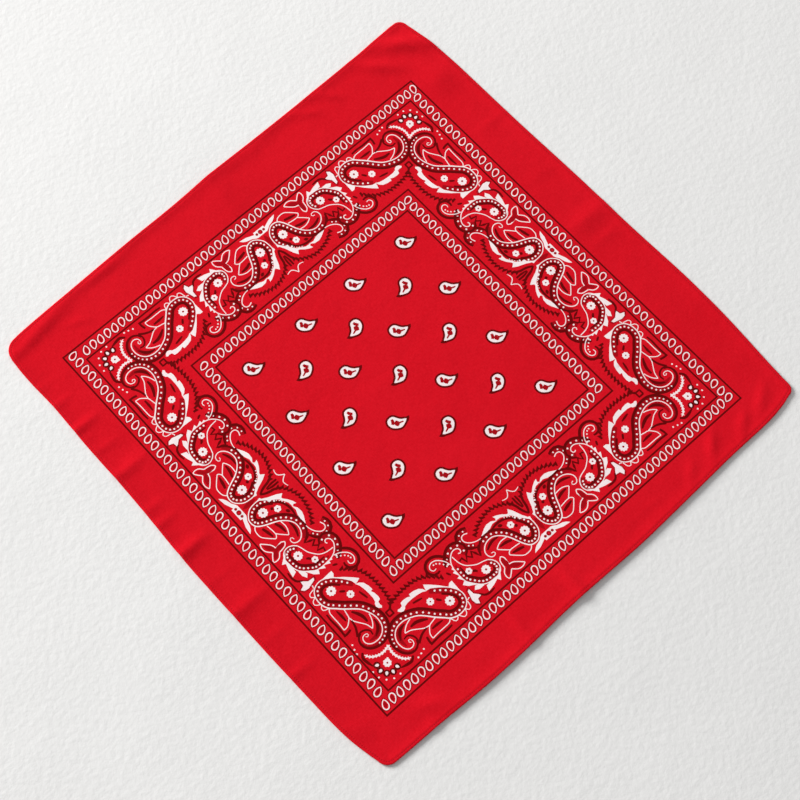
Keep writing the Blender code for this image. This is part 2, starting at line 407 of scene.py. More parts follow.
def corner_paisley():
    """The largest paisley, beside the corner's flower, with its curled tip, leaves and feathers."""
    motif = Motif()
    spine = smooth([
        (166.5, 34.5), (168, 36.5), (166, 38), (164.5, 35.5), (165.5, 32), (169, 30.5), (172.5, 31.5),
        (175, 34.5), (176, 38), (176, 43), (174, 48), (170, 52), (164.5, 54), (157.5, 54), (150, 51.5),
        (144.5, 48.5), (139.5, 43.5), (134, 37), (128.5, 31.5), (124, 27), (118.5, 24.5), (113, 24),
        (107.5, 25), (103, 28), (100.5, 32), (99.5, 37), (100.5, 42), (104, 48), (111, 55), (120, 61.5),
    ])
    motif.fill(SHADE, stroke(beside(spine[8:], -3.2), 6.2, (0.3, 0.5, 0.8, 1, 1, 1, 1, 1, 1, 1, 1, 0.6)))
    gap = np.interp(np.arange(len(spine)), (0, 12, 24), (3.0, 4.4, 6.5))
    motif.fill(DARK, stroke(beside(spine, -gap)[5:-6], 2.1, (0.6, 1, 1, 1, 1, 1, 1, 0.7)))
    motif.brush(SHADE, 4.4, [(172, 35), (172.5, 42), (169, 48.5), (161, 51.5)], (0.2, 0.8, 1, 0.2))
    motif.brush(DARK, 2.2, [(172.5, 42), (169.5, 47), (165, 50.5), (159.5, 51.5)], (0.2, 1, 1, 0.3))
    motif.dots(spine[14:], ((0, 3.2), (12, 3.4), (24, 4.4), (32, 4.9), (50, 5.4)), 2.4, -3.1)
    motif.fill(WHITE, stroke(spine[:-4], 1.3, (0.8, 1, 1, 1, 1.1, 1.3, 1.2, 1, 1, 1)))
    motif.flower(113.5, 39.5, 4.9, 10)
    motif.flower(127.5, 51, 3.9, 8, 0.5)
    motif.brush(DARK, 1.8, [(119, 45), (120.5, 47), (122, 49)], (0.5, 1, 0.7))
    motif.brush(DARK, 1.7, [(131, 58.5), (135.5, 59.5), (140.5, 60.5)], (0.4, 1, 0.5))
    tip = [(162, 29), (160.4, 33), (161.4, 38), (165, 41.5), (169.5, 41)]
    motif.brush(DARK, 1.2, tip, (0.4, 1, 1, 0.6))
    # the leaves inside it
    motif.lines(
        [(124, 28), (127.5, 25), (134, 24.5), (141, 24.5), (149, 24)],
        [(149, 24), (148.5, 28.5), (146, 32), (143, 35), (138.5, 36), (133.5, 37)],
    )
    motif.brush(DARK, 2.0, [(131, 30.5), (137, 31), (143.5, 31)], (0.3, 1, 0.5))
    motif.lines(
        [(143, 35), (148, 36), (153.5, 39.5), (159, 43), (165, 44.5)],
        [(165, 44.5), (162, 47.5), (157.5, 50), (152.5, 51.5)],
    )
    motif.brush(DARK, 2.5, [(140.5, 40.5), (145.5, 43.5), (151, 45.5), (157, 45.5)], (0.4, 1, 1, 0.5))
    motif.brush(DARK, 1.5, [(127.5, 21.5), (134, 21), (143, 21.5), (153, 21)], (0.7, 1, 1))
    motif.brush(DARK, 1.5, [(153.5, 20), (153.5, 24), (152.5, 28.5)])
    motif.brush(DARK, 1.6, [(147, 35), (152.5, 34), (157, 32), (161.5, 29)], (0.7, 1, 1))
    # the scallops on its round end
    motif.lines(
        [(118, 24.5), (119.5, 22), (122.5, 22), (124.5, 27)],
        [(108, 24.5), (110.5, 20), (113.5, 19.5), (117, 24.5)],
        [(101.5, 28.5), (103, 22.5), (105.5, 21.5), (108, 24.5)],
        [(101, 29), (98.5, 30), (96.5, 29)],
        width=1.2,
    )
    # the thorn, and the feathers along its belly
    motif.fill(WHITE, [(99.5, 41), (99, 52.5), (102.5, 52.5), (105.5, 50), (103, 45)], [
        (105, 49.5), (111, 57.3), (117, 63.5), (121.5, 67.5), (123, 64), (123.5, 61), (119, 60),
        (112.5, 55.5),
    ], [
        (123, 60.5), (127, 62.5), (132, 63.5), (138, 64), (144, 64), (148, 63), (149, 61.5), (152, 60.5),
        (154.5, 61.5), (156.5, 64), (155, 65.5), (152.5, 65), (150, 65.5), (149, 68.5), (145.5, 69),
        (141, 68.5), (138, 67), (137.5, 69.5), (132.5, 69), (127.5, 67.5), (124.5, 64.5),
    ])
    motif.scribble([
        (103, 59.5), (108, 65.5), (115, 71.5), (121.5, 74.5), (128, 76), (137, 76.5), (146, 76),
        (152.5, 75), (158.5, 73.5),
    ])
    # the starry leaf beside it
    star = np.array([
        (87.5, 24.3), (92.5, 23.5), (94.3, 19), (97.3, 21.5), (98, 26), (96.8, 30), (95.4, 35), (92.8, 36),
        (92.3, 30),
    ])
    heart = (95, 27)
    motif.fill(SHADE, (star - heart) * 1.22 + heart)
    motif.fill(WHITE, star)
    return motif


def middle_paisley():
    """The paisley that curls the other way, with a crest of feathers, and the twig beside it."""
    motif = Motif()
    spine = smooth([
        (77, 67.5), (74.5, 66.5), (73, 69), (75, 72), (79.5, 72.5), (84, 70), (88, 65.5), (90, 60),
        (90.5, 53.5), (90.5, 48), (89.5, 42.5), (86.5, 38), (83, 33.5), (79, 30), (74, 28), (68, 27.5),
        (62.5, 27.5), (58.5, 29.5), (56, 33), (55.5, 37.5), (57.5, 42), (60.5, 45),
    ])
    motif.brush(DARK, 1.6, [(74, 21), (80, 20.5), (85.5, 22), (88.5, 26)], (0.4, 1, 1, 0.4))
    motif.fill(SHADE, stroke(beside(spine[1:15], 3.4), 5.0, (0.8, 1, 1, 0.6)))
    motif.fill(DARK, stroke(beside(spine[1:15], 5.9), 2.1, (0.6, 1, 1, 0.6)))
    motif.fill(SHADE, stroke(beside(spine[15:], -3.1), 5.8, (0.2, 0.6, 1, 1, 1, 1, 1, 0.8)))
    motif.fill(DARK, stroke(beside(spine[17:-6], -5.7), 2.0, (0.3, 1, 1, 1, 0.5)))
    # its crest
    motif.fill(
        WHITE, [(57, 33), (61, 26.5), (64.5, 22), (66, 24.5), (68, 27.5), (63, 28)],
        [(66, 25.5), (72, 23.3), (80.3, 21.8), (78.3, 27.5), (73, 28), (67, 27.6)],
        [(79, 29), (85, 29), (89.5, 31.5), (86.5, 34.5), (84, 34), (81, 31.5)],
        [(84, 34), (87.5, 36), (91, 38), (94.5, 42.5), (91, 44.5), (89.5, 43), (87, 38.5)],
        [(89.5, 43.5), (91.5, 46.5), (94, 50.5), (90.5, 51)], [(90.5, 51), (93.5, 57), (90.5, 57.5)],
        [(90.5, 57), (92, 60.5), (90, 61)],
    )
    motif.dots(spine[1:15], ((0, 4.2), (20, 4.6)), 2.4, 3.1)
    motif.dots(spine[16:], ((0, 4.3), (40, 4.5)), 2.4, -3.0)
    motif.fill(WHITE, stroke(spine, 1.3))
    motif.lines([(60.5, 45), (65, 46.5), (70.5, 48), (75.5, 51), (80, 55), (82.5, 60.5), (83.5, 69)])
    motif.flower(68, 39, 4.7, 10)
    motif.flower(81, 48.5, 3.5, 6, 0.6)
    motif.brush(DARK, 1.8, [(75, 43), (76.5, 45), (78, 46)], (0.5, 1, 1))
    hatch = np.array([
        (57, 61), (60, 58), (62.5, 52), (64.5, 57), (66.5, 61), (69.5, 56), (73, 60.5), (76, 56),
        (77.5, 62), (81, 61),
    ])
    motif.fill(DARK, stroke(hatch, 1.9, (0.5, 1, 1, 1, 0.7)))
    motif.brush(DARK, 1.6, [(96, 57), (97, 59), (98, 61)], (0.5, 1, 0.6))
    # the twig
    twig = smooth([
        (89.5, 64), (91, 69), (94, 73.5), (97.5, 76.5), (102, 77.5), (105.5, 76), (107, 73), (105, 70),
        (102, 70.5),
    ], 1.8)
    motif.fill(DARK, stroke(beside(twig[2:], 4.0), 2.2, (0.4, 1, 1, 1, 1, 0.5)))
    motif.fill(WHITE, stroke(twig, 1.3, (0.8, 1, 1, 1, 0.8)))
    motif.dots(twig[:-6], ((0, 4.4), (20, 4.4)), 2.0, -3.0)
    return motif


def lobed_leaf():
    """The leaf with three lobes, in outline, between the two smaller paisleys."""
    motif = Motif()
    motif.lines(
        [(36, 20), (39.5, 18.5), (44.5, 19), (50, 23.5)],
        [(50, 23.5), (54, 20), (57.5, 18), (58.5, 19.5), (58, 24.5), (54, 28.5)],
        [(54, 28.5), (53.5, 32.5), (52.5, 36.5), (49.5, 39)],
        [(49.5, 39), (47.5, 36), (48, 32), (48.5, 28.5)],
        [(48.5, 28.5), (44.5, 27.5), (40, 24), (36, 20)],
        width=1.3,
    )
    motif.fill(SHADE, leaf((39.5, 21), (50.5, 27.5), 0.16), leaf((57, 21), (49.5, 28), 0.18))
    motif.fill(SHADE, leaf((50.5, 26), (50, 37), 0.2))
    return motif


def inner_paisley():
    """The paisley next to the side's middle, with its leaves, feathers and scroll."""
    motif = Motif()
    spine = smooth([
        (53.5, 47), (51, 46.5), (50.5, 44.5), (52.5, 43.5), (55.5, 44), (57.5, 47), (57.5, 51),
        (54, 55.5), (48.5, 58), (42.5, 58), (37.5, 55.5), (32.5, 50.5), (29.5, 45.5), (27, 39.5),
        (24, 33), (20.5, 28.5), (16, 27), (11.5, 27.5), (7, 31), (4, 35.5), (3, 41), (3, 46), (5, 51.5),
        (8.5, 57), (12.5, 61.5),
    ])
    motif.fill(SHADE, stroke(beside(spine[10:], -3.2), 5.8, (0.3, 1, 1, 1, 1, 1, 1, 1, 1, 0.8)))
    gap = np.interp(np.arange(len(spine)), (0, 8, 15), (2.8, 4.0, 6.0))
    motif.fill(DARK, stroke(beside(spine, -gap)[9:-2], 2.1, (0.3, 1, 1, 1, 1, 1, 1, 0.6)))
    belly = [(10.5, 52), (15.5, 59), (21.5, 63), (29, 64.5), (37, 63.5)]
    motif.brush(DARK, 1.8, belly, (0.4, 1, 1, 1, 0.5))
    motif.brush(DARK, 2.0, [(38, 54.5), (44.5, 55), (50, 53.5), (54, 51.5)], (0.3, 1, 1, 0.4))
    motif.dots(spine[13:], ((0, 4.2), (30, 4.4), (48, 4.9)), 2.4, -3.1)
    motif.fill(WHITE, stroke(spine[:-4], 1.3, (0.8, 1, 1, 1, 1.2, 1.2, 1, 1, 1)))
    motif.flower(15, 42, 5.0, 10)
    motif.flower(21, 55, 3.7, 6, 0.5)
    motif.fill(DARK, disc(17.5, 51, 1.3), leaf((31, 62), (27, 60), 0.3))
    # the open leaves by its tip
    motif.lines(
        [(20, 28), (22.5, 25.5), (27, 24.5), (31.5, 25), (36, 28.5), (42, 34.5)],
        [(42, 34.5), (40, 37), (36.5, 37.5), (27, 36.5)],
        [(38, 37.5), (42.5, 41.5), (47, 46)],
        [(47, 46), (44, 48), (39, 49.5), (32, 49)],
    )
    motif.brush(DARK, 2.4, [(26.5, 31.3), (31, 32.5), (38.5, 34)], (0.7, 1, 0.4))
    motif.brush(DARK, 2.4, [(30.5, 43.5), (36, 45.5), (43, 46)], (0.7, 1, 0.4))
    # its feathers, with the teeth on their upper edge, and the shadow under them
    motif.fill(WHITE, [
        (2.5, 45.5), (1.5, 49), (4.5, 50.5), (7, 57), (9.5, 63.5), (12.5, 68.5), (15, 65), (18, 65),
        (14, 60.5), (9.5, 54),
    ], [
        (14.5, 63.5), (20.5, 68.5), (25, 71), (28.5, 72), (27.5, 69), (29, 67), (23.5, 66.5), (19, 64),
        (16.5, 62),
    ], [
        (27.5, 66.5), (32.5, 70), (38, 70.5), (42.5, 69), (49.5, 65), (42.5, 64.5), (38, 65), (33, 67),
    ])
    motif.dots(smooth([(8.5, 52), (12, 57), (16, 61.5), (21.5, 64.5)]), ((0, 2.7), (20, 2.7)), 1.5)
    motif.scribble([
        (4.5, 67), (8.5, 72), (13.5, 75), (18, 77), (23, 78.5), (29, 79), (35, 78), (41, 76.5), (46.5, 74),
        (51, 71), (54, 68.5),
    ])
    # the scroll behind it
    scroll = smooth([
        (51, 64), (55, 64.5), (59, 66), (62.5, 68.5), (65, 72), (64.5, 76), (61.5, 77.5), (57, 76),
    ], 1.8)
    motif.fill(SHADE, stroke(beside(scroll[4:], -3.2), 4, (0.5, 1, 1, 0.8)))
    motif.fill(DARK, stroke(beside(scroll[3:], -5.6), 2.2, (0.4, 1, 1, 1, 0.6)))
    motif.fill(WHITE, stroke(scroll, 1.3, (0.8, 1, 1, 1)))
    motif.dots(scroll[4:], ((0, 3.4), (20, 3.4)), 2.0, -2.9)
    return motif


def half_of_the_middle():
    """What stands at the middle of a side, up to its line of symmetry."""
    motif = Motif()
    motif.fill(WHITE, [
        (5, 24.5), (10, 22.5), (15, 20.5), (23, 19.5), (20.5, 22.5), (17, 24.5), (11.5, 26), (7.5, 28.5),
        (5, 28.5),
    ])
    motif.brush(WHITE, 1.25, [(10.5, 77.5), (7.5, 76.5), (4.5, 76.5), (2, 79), (0, 82.5)], (0.7, 1, 1, 1))
    motif.brush(DARK, 1.8, [(0, 52), (2, 55.5), (3.5, 60), (4.5, 65), (7.5, 71)], (0.7, 1, 1, 0.8))
    motif.brush(DARK, 1.5, [(0.5, 60), (1.5, 66), (1.5, 73)], (0.5, 1, 0.8))
    return motif


def side_bow():
    """The bow that ties the two halves of a side together."""
    motif = Motif()
    motif.fill(SHADE, leaf((0, 30.5), (0, 45), 0.14))
    motif.fill(WHITE, [(-6.5, 21.5), (6.5, 21.5), (7, 25), (6.5, 29), (-6.5, 29), (-7, 25)])
    motif.fill(SHADE, disc(-4.5, 25.2, 1.2), disc(4.5, 25.2, 1.2), disc(0, 25.2, 2.2, 10))
    motif.fill(DYE, disc(0, 25.2, 1.1))
    return motif


# The frames' drops on each side: where the first, the middle one and the last are, how many there are, how
# they lean, and which way the first one points: 1 is inwards.
FRAME_DROPS = (
    # first, middle, last, count, lean, points
    (-222.7, -4.8, 213.2, 47, -20, 1),
    (-225.5, -6.5, 212.6, 50, 20, 1),
    (-226.5, -11.6, 209.5, 47, -20, 1),
    (-226.3, -8.5, 209.3, 50, 20, 1),
)
INNER_FRAME_DROPS = (
    # first, middle, last, count, lean, points
    (-133.0, 1.1, 135.2, 31, -20, 1),
    (-136.0, -6.5, 123.0, 30, 20, 1),
    (-135.5, -5.9, 123.8, 30, -20, -1),
    (-126.0, -1.8, 122.4, 29, 20, -1),
)


# A drop is printed in four layers, and lies a little further in than the middle of its band.
DROP_LAYERS = (
    # ink, further in, length, width, points
    (SHADE, 0.4, 12.4, 8.6, 10),
    (WHITE, 0.4, 11.0, 7.3, 15),
    (DYE, 0.4, 8.5, 4.9, 11),
    (SHADE, 0.7, 6.0, 2.8, 6),
)
FRAME_LINE_STEP = 7.0


def frame_of_drops(half, band, first, middle, last, count, lean, points):
    """One side of a frame: its two dark lines, and drops that point in and out by turns."""
    motif = Motif()
    for inset in (0, band):
        reach = half - inset + FRAME_LINE / 2
        line = evenly(np.array([(-reach, inset), (reach, inset)]), FRAME_LINE_STEP)
        motif.fill(DARK, stroke(line, FRAME_LINE))
    for n in range(count):
        x = np.interp(n * 2 / (count - 1), (0, 1, 2), (first, middle, last))
        turn = math.radians(90 - lean + (0 if (-1) ** n == points else 180))
        for ink, further_in, length, width, steps in DROP_LAYERS:
            motif.fill(ink, teardrop(x, band / 2 + further_in, length, width, turn, steps))
    return motif


def comma():
    """One of the field's small paisleys: a white comma with a stem and a leaf inside it."""
    motif = Motif()
    body = smooth([
        (4, 10), (7, 5), (8, 0.5), (6, -4), (2.5, -7.5), (-1.5, -8.5), (-5.5, -7), (-7, -3), (-6, 1),
        (-2.5, 3), (1, 5.5),
    ], 2.4, loop=True)
    motif.fill(DARK, beside(body, 1.35, True))
    motif.fill(DARK, leaf((3.5, 13.5), (6, 3), 0.22, 0.16))
    motif.fill(WHITE, beside(body, -0.15, True))
    motif.brush(SHADE, 2.7, [(-4.2, -2.2), (-2, -2.6), (0.2, -4.6)], (0.7, 1, 0.8))
    stem = stroke(np.array([(2.5, 0.5), (4.2, 5.5)]), 1.3, (1, 0.5))
    motif.fill(SHADE, leaf((-0.8, 0.4), (4.6, -1.6), 0.42), stem)
    return motif


# The field: rows of four commas and of three, by turns. A row of three lies the other way up.
FOUR = (-103.8, -39.5, 28.6, 97.1)
THREE = (-69.2, -5.2, 63.6)
FIELD = (
    # how far up the row is, where its commas are
    (-102.6, FOUR), (-65.3, THREE), (-33.9, FOUR), (0.7, THREE), (31.1, FOUR), (66.9, THREE), (99.6, FOUR),
)
FIELD_TILT = -0.014
FIELD_LEAN = -0.006

# How far the screens slipped along each side and in, for its border and then for its corner's flower.
SLIPS = ((1.2, 0.6), (-2.8, 0.7), (-2.3, -0.3), (-0.5, 0))
CORNER_SLIPS = ((-0.1, 0.2), (-2.1, 0.6), (-1.0, -2.0), (-1.6, -0.8))

border = [corner_paisley(), inner_paisley(), middle_paisley(), lobed_leaf(), half_of_the_middle()]
printed = []
for side, (slip, corner_slip) in enumerate(zip(SLIPS, CORNER_SLIPS)):
    for motif in border:
        printed += motif.placed(side, slip=slip) + motif.placed(side, mirror=-1, slip=slip)
    printed += side_bow().placed(side, slip=slip) + corner_flower().placed(side, slip=corner_slip)
    printed += frame_of_drops(HALF, FRAME_BAND, *FRAME_DROPS[side]).placed(side)
    inner_frame = frame_of_drops(INNER_HALF, INNER_BAND, *INNER_FRAME_DROPS[side])
    printed += inner_frame.placed(side, half=INNER_HALF)
for up, row in FIELD:
    way_up = (1, 1 if row is FOUR else -1)
    for x in row:
        place = (x + FIELD_LEAN * up, up + FIELD_TILT * x)
        printed += [(ink, outline * way_up + place) for ink, outline in comma().shapes]


def on_cloth(outline):
    """An outline where it lies on the cloth. It is drawn on a true square, and the cloth skews that."""
    right, up = (outline[:, :1] / HALF + 1) / 2, (outline[:, 1:] / HALF + 1) / 2
    corner = {name: np.array(place) for name, place in PRINTED_CORNERS.items()}
    low = corner["left_bottom"] * (1 - right) + corner["right_bottom"] * right
    high = corner["left_top"] * (1 - right) + corner["right_top"] * right
    return low * (1 - up) + high * up


# The two dyeing inks bleed a little into the cotton. The white, printed last, falls a little short.
BLEED = {DYE: 0.0, WHITE: -0.18, DARK: 0.34, SHADE: 0.34}


def bled(ink, outline):
    """An outline moved out by as far as its ink bleeds."""
    x, y = outline.T
    turns_left = np.sum(x * np.roll(y, -1) - y * np.roll(x, -1)) > 0
    return beside(outline, -BLEED[ink] if turns_left else BLEED[ink], True)


printed = [(ink, on_cloth(bled(ink, outline))) for ink, outline in printed]

# ================================================================ the panel: its mesh
# The cloth is 0.35 mm thick. Round the edge it rolls over and down to the surface, since it goes on below
# as the hem, and it steps down inside the hem. The printed shapes are faces of the upper side, so their
# edges stay crisp, and the underside carries the larger ones as the ghost that shows through thin cotton.

CLOTH = 0.35
TOP_EDGE = (
    # inset, height above the underside's lie
    (0.0, 0.6), (0.1, 0.95), (0.3, 1.18), (0.7, 1.3), (2.2, 1.33), (3.0, 1.16), (3.8, 1.29), (4.6, 1.24),
    (6.0, 1.03), (8.0, 0.74), (11.0, 0.46), (15.0, CLOTH),
)
UNDER_EDGE = (
    # inset, height
    (0.0, 0.6), (0.12, 0.25), (0.4, 0.05), (0.85, 0.03), (0.95, 0.95), (4.6, 0.92), (6.0, 0.68),
    (8.0, 0.39), (11.0, 0.11), (15.0, 0.0),
)

# The spacing of the loose points in the plain margin, in the print and on the underside, and how close
# their rows are. A shape smaller than GHOST_AREA doesn't show below, and one with more than GHOST_POINTS
# points keeps every other one there.
MARGIN_STEP = 3.2
MIDDLE_STEP = 9.0
UNDER_STEP = 8.0
ROW_SPACING = 0.87
GHOST_AREA = 16.0
GHOST_POINTS = 12


def winding(points, outline):
    """How many times the outline goes round each point."""
    a, b = outline, np.roll(outline, -1, axis=0)
    y = points[:, 1:]
    up = (a[:, 1] <= y) & (b[:, 1] > y)
    down = (a[:, 1] > y) & (b[:, 1] <= y)
    left = (b[:, 0] - a[:, 0]) * (y - a[:, 1]) - (points[:, :1] - a[:, 0]) * (b[:, 1] - a[:, 1])
    return (up & (left > 0)).sum(axis=1) - (down & (left < 0)).sum(axis=1)


def scattered(step, inside, outside=None):
    """Points all over the inside of a loop, in staggered rows, and outside another loop if one is given."""
    low, high = inside.min(axis=0), inside.max(axis=0)
    rows = np.arange(low[1], high[1], step * ROW_SPACING)
    columns = np.arange(low[0], high[0], step)
    x, y = np.meshgrid(columns, rows)
    x = x + np.where(np.arange(len(rows)) % 2, step / 2, 0)[:, None]
    points = np.column_stack((x.ravel(), y.ravel()))
    kept = points[winding(points, inside) != 0]
    return kept if outside is None else kept[winding(kept, outside) == 0]


def triangles(border, loose, shapes):
    """Triangles that fill the border, with an edge along every line of the shapes. Returns their points, of
    which the border's come first, and the triangles."""
    loops = [border] + [outline for _, outline in shapes]
    points = np.vstack(loops + [loose])
    edges = []
    start = 0
    for loop in loops:
        numbers = start + np.arange(len(loop))
        edges.append(np.column_stack((numbers, np.roll(numbers, -1))))
        start += len(loop)
    found, _, faces, origins, _, _ = delaunay_2d_cdt(
        [Vector(point) for point in points], np.vstack(edges).tolist(), [], 1, 1e-5, True
    )
    found = np.array([point[:] for point in found])
    order = np.empty(len(found), int)
    first = np.array([min(ids) if ids else len(points) for ids in origins])
    from_border = np.flatnonzero(first < len(border))
    rest = np.flatnonzero(first >= len(border))
    order[from_border] = first[from_border]
    order[rest] = len(border) + np.arange(len(rest))
    placed = np.empty_like(found)
    placed[order] = found
    faces = order[np.array(faces)]
    # A face on the border belongs to the cloth if it runs the same way round, whichever sliver it is.
    step = (np.roll(faces, -1, axis=1) - faces) % len(border)
    on_border = (faces < len(border)) & (np.roll(faces, -1, axis=1) < len(border))
    forward, backward = [(on_border & (step == way)).any(axis=1) for way in (1, len(border) - 1)]
    inside = winding(placed[faces].mean(axis=1), border) != 0
    return placed, faces[forward | inside & ~backward]


def inks(points, shapes):
    """The ink at each point: that of the last shape printed there."""
    order = np.argsort(points[:, 0])
    sorted_x = points[order, 0]
    ink = np.full(len(points), DYE)
    for colour, outline in shapes:
        low, high = outline.min(axis=0), outline.max(axis=0)
        near = order[np.searchsorted(sorted_x, low[0]):np.searchsorted(sorted_x, high[0])]
        near = near[(points[near, 1] > low[1]) & (points[near, 1] < high[1])]
        ink[near[winding(points[near], outline) != 0]] = colour
    return ink


def area(outline):
    """How much an outline encloses."""
    x, y = outline.T
    return abs(np.dot(x, np.roll(y, -1)) - np.dot(y, np.roll(x, -1))) / 2


# Where the hem's seam runs, how long it is, and how many stitches it has.
STITCH_INSET = 3.0
STITCH_PITCH = 2.4
seam = ring(STITCH_INSET)
seam_run = run_of(np.vstack((seam, seam[:1])))
STITCHES = round(seam_run[-1] / STITCH_PITCH)

RIPPLES = (
    # waves round the whole edge, start, height
    (241, 0.0, 0.05),
    (157, 2.0, 0.04),
    (61, 1.0, 0.05),
)
RIPPLE_REACH = (
    # inset, how much of the ripple there is
    (0.1, 0), (0.7, 1), (5.0, 1), (9.0, 0),
)


def ripple(inset):
    """How the hem's height varies along the edge: it is turned by hand, and its stitches gather it."""
    turns = seam_run[:-1] / seam_run[-1] * 2 * math.pi
    height = sum(height * np.sin(waves * turns + start) for waves, start, height in RIPPLES)
    return height * np.interp(inset, *zip(*RIPPLE_REACH))


def panel_side(edge_rows, loose, shapes):
    """One side of the panel: its points, the quads round its edge, the triangles inside and their inks."""
    count = len(seam)
    rings = [ring(inset) for inset, _ in edge_rows]
    filled, faces = triangles(rings[-1], loose, shapes)
    heights = [height + ripple(inset) for inset, height in edge_rows[:-1]]
    heights.append(np.full(len(filled), edge_rows[-1][1]))
    points = np.vstack(rings[:-1] + [filled])
    z = lie(points) + np.concatenate(heights)
    here = np.arange(count)
    after = np.roll(here, -1)
    quads = []
    for outer in range(0, count * (len(rings) - 1), count):
        inner = outer + count
        quads.append(np.column_stack((outer + here, outer + after, inner + after, inner + here)))
    ink = inks(filled[faces].mean(axis=1), shapes)
    return np.column_stack((points, z)), np.vstack(quads), faces + count * (len(rings) - 1), ink


def along_hem(edge_rows):
    """For each corner of the quads round the edge, how far it is along the seam and in from the edge."""
    places = []
    for (outer, _), (inner, _) in zip(edge_rows, edge_rows[1:]):
        run = np.stack((seam_run[:-1], seam_run[1:], seam_run[1:], seam_run[:-1]), axis=1)
        inset = np.broadcast_to((outer, outer, inner, inner), run.shape)
        places.append(np.stack((run, inset), axis=2))
    return np.vstack(places)


printed_square = on_cloth(HALF * np.array([(-1, -1), (1, -1), (1, 1), (-1, 1)]))
inside_edge = ring(TOP_EDGE[-1][0] + MARGIN_STEP / 2)
in_margin = scattered(MARGIN_STEP, inside_edge, printed_square)
loose = np.vstack((in_margin, scattered(MIDDLE_STEP, printed_square)))
top, top_quads, top_faces, top_ink = panel_side(TOP_EDGE, loose, printed)
ghost = [(ink, outline) for ink, outline in printed if area(outline) > GHOST_AREA]
ghost = [(ink, outline[::2] if len(outline) > GHOST_POINTS else outline) for ink, outline in ghost]
loose = scattered(UNDER_STEP, inside_edge)
under, under_quads, under_faces, under_ink = panel_side(UNDER_EDGE, loose, ghost)

# The two sides share their outermost ring. The underside's faces look down.
shared = len(seam)
points = np.vstack((top, under[shared:]))
under_quads, under_faces = [
    np.where(faces < shared, faces, faces + len(top) - shared)[:, ::-1]
    for faces in (under_quads, under_faces)
]
groups = (top_quads, top_faces, under_quads, under_faces)
mesh = bpy.data.meshes.new("panel_cloth")
mesh.from_pydata((points * MM).tolist(), [], [face for group in groups for face in group.tolist()])


def per_corner(*values):
    """One row for each corner of every face, from a value for each group: its rows, or one row for all."""
    rows = []
    for value, group in zip(values, groups):
        rows.append(np.broadcast_to(value, (group.size, np.shape(value)[-1])))
    return np.vstack(rows)


# The inks: red, green and blue hold how much white, dark and shading ink a face has, and alpha is 0 below.
INK_CHANNELS = np.array([(0, 0, 0), (1, 0, 0), (0, 1, 0), (0, 0, 1)], float)
UPPER, LOWER = (0, 0, 0, 1), (0, 0, 0, 0)
corner_inks = per_corner(
    UPPER,
    np.column_stack((INK_CHANNELS[top_ink], np.ones(len(top_ink)))).repeat(3, axis=0),
    LOWER,
    np.column_stack((INK_CHANNELS[under_ink], np.zeros(len(under_ink)))).repeat(3, axis=0),
)
mesh.color_attributes.new("ink", "BYTE_COLOR", "CORNER").data.foreach_set("color", corner_inks.ravel())

# A map that has the upper side beside the underside, and a map that runs along the hem, in metres.
MAP_SPAN = 580.0
MAP_MARGIN = 0.01
TOP_SHARE = 0.64
corner_places = [points[group.ravel(), :2] / MAP_SPAN + 0.5 for group in groups]
top_scale, under_scale = (TOP_SHARE - 2 * MAP_MARGIN, 1), (1 - TOP_SHARE - 2 * MAP_MARGIN, 1)
flat_map = per_corner(
    *[places * top_scale + (MAP_MARGIN, 0) for places in corner_places[:2]],
    *[places * under_scale + (TOP_SHARE + MAP_MARGIN, 0) for places in corner_places[2:]],
)
mesh.uv_layers.new(name="OFBake").data.foreach_set("uv", flat_map.ravel())
beyond = (0, TOP_EDGE[-1][0])
hem_map = per_corner(
    along_hem(TOP_EDGE).reshape(-1, 2), beyond, along_hem(UNDER_EDGE)[:, ::-1].reshape(-1, 2), beyond,
)
mesh.uv_layers.new(name="hem").data.foreach_set("uv", (hem_map * MM).ravel())
mesh.shade_smooth()
mesh.validate()

# ================================================================ the panel: its finish
# Red-dyed plain weave of uneven yarns. The white is an opaque ink on top of the yarns, and the dark and the
# shading inks soak in. Below, the print shows through faintly. The cotton has a slight nap, and no gloss.

DYED_RED = (0.660, 0.0059, 0.0162, 1)
DEEP_RED = (0.565, 0.0020, 0.0090, 1)
SHADE_RED = (0.340, 0.0014, 0.0056, 1)
DARK_INK = (0.122, 0.0007, 0.0009, 1)
WHITE_INK = (0.870, 0.785, 0.780, 1)
YARN = 0.5
GHOST = 0.4
STITCH_PULL = 0.12
STITCH_PULL_WIDTH = 0.9


